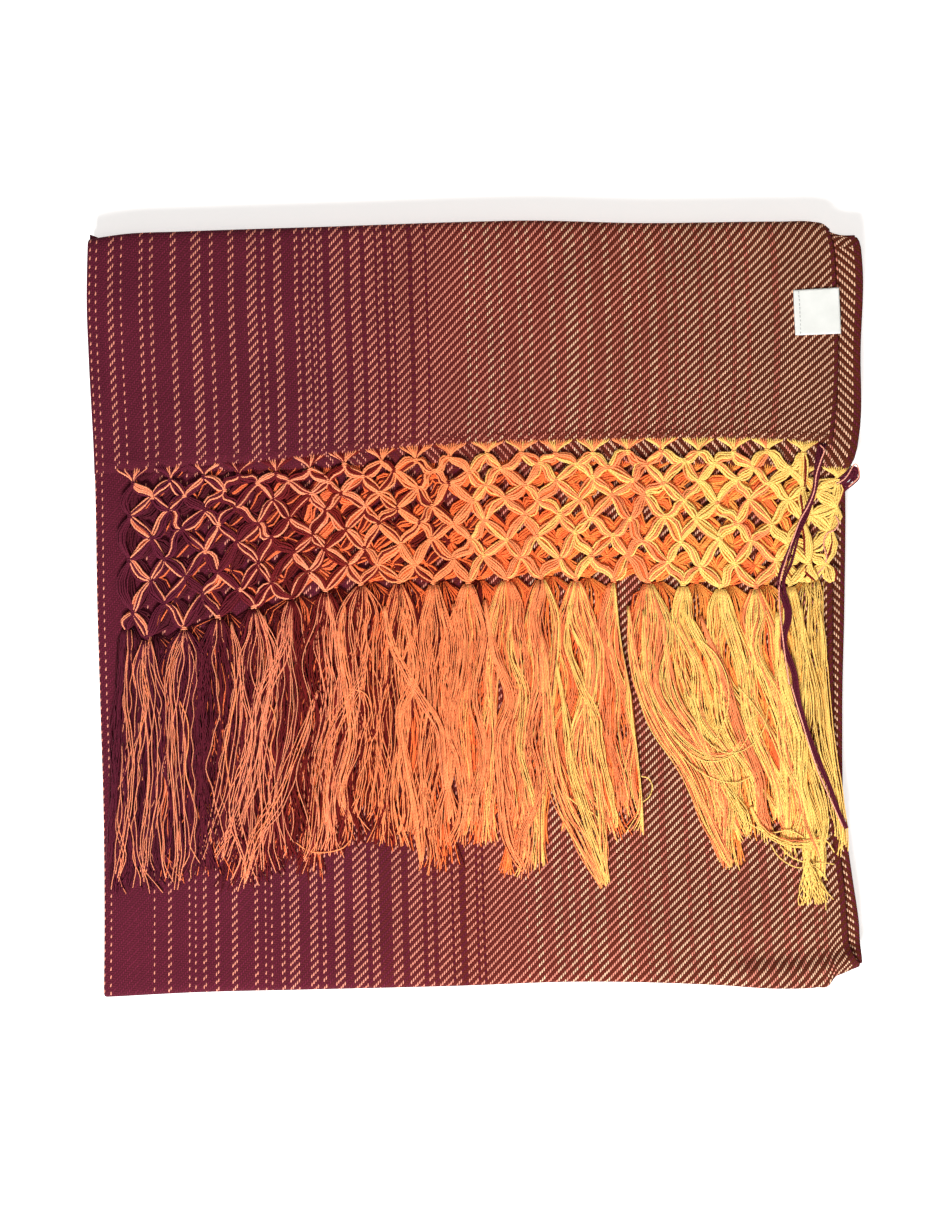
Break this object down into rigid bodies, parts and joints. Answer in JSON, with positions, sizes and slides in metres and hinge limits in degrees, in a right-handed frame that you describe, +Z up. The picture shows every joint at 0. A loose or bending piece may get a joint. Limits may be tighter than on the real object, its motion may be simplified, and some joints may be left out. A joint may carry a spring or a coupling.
{
  "type": "folded rebozo shawl",
  "caption": "Warp-striped twill rebozo folded into a flat square packet, with its woven end turned over and a knotted net fringe with loose tassels lying on top.",
  "frame": {"origin": "middle of the packet's flat underside, where it rests", "axes": "+X towards the selvedges (the picture's right), +Y towards the turned-over end (the picture's top), +Z up from the table"},
  "size_m": [0.388, 0.3888, 0.0204],
  "materials": {
    "striped_twill": "matt cotton twill, plum with warp stripes in orange",
    "folded_twill": "matt cotton twill, plum at the folds and selvedges",
    "net_yarn": "soft knotted cotton yarn, orange",
    "net_yarn_under": "soft knotted cotton yarn, deep orange",
    "tassel_yarn": "loose cotton yarn, plum through orange to yellow",
    "label_tape": "bare satin-woven label tape, off-white"
  },
  "bodies": {
    "root": {"folded_core": "folded_twill", "top_panel": "striped_twill", "end_flap": "striped_twill", "net_under": "net_yarn_under", "net_upper": "net_yarn", "label": "label_tape", "tassel_01": "tassel_yarn", "tassel_02": "tassel_yarn", "tassel_03": "tassel_yarn", "tassel_04": "tassel_yarn", "tassel_05": "tassel_yarn", "tassel_06": "tassel_yarn", "tassel_07": "tassel_yarn", "tassel_08": "tassel_yarn", "tassel_09": "tassel_yarn", "tassel_10": "tassel_yarn", "tassel_11": "tassel_yarn", "tassel_12": "tassel_yarn", "tassel_13": "tassel_yarn", "tassel_14": "tassel_yarn", "tassel_15": "tassel_yarn", "tassel_16": "tassel_yarn", "tassel_17": "tassel_yarn", "tassel_18": "tassel_yarn", "tassel_19": "tassel_yarn", "tassel_20": "tassel_yarn", "tassel_21": "tassel_yarn"}
  },
  "joints": []
}
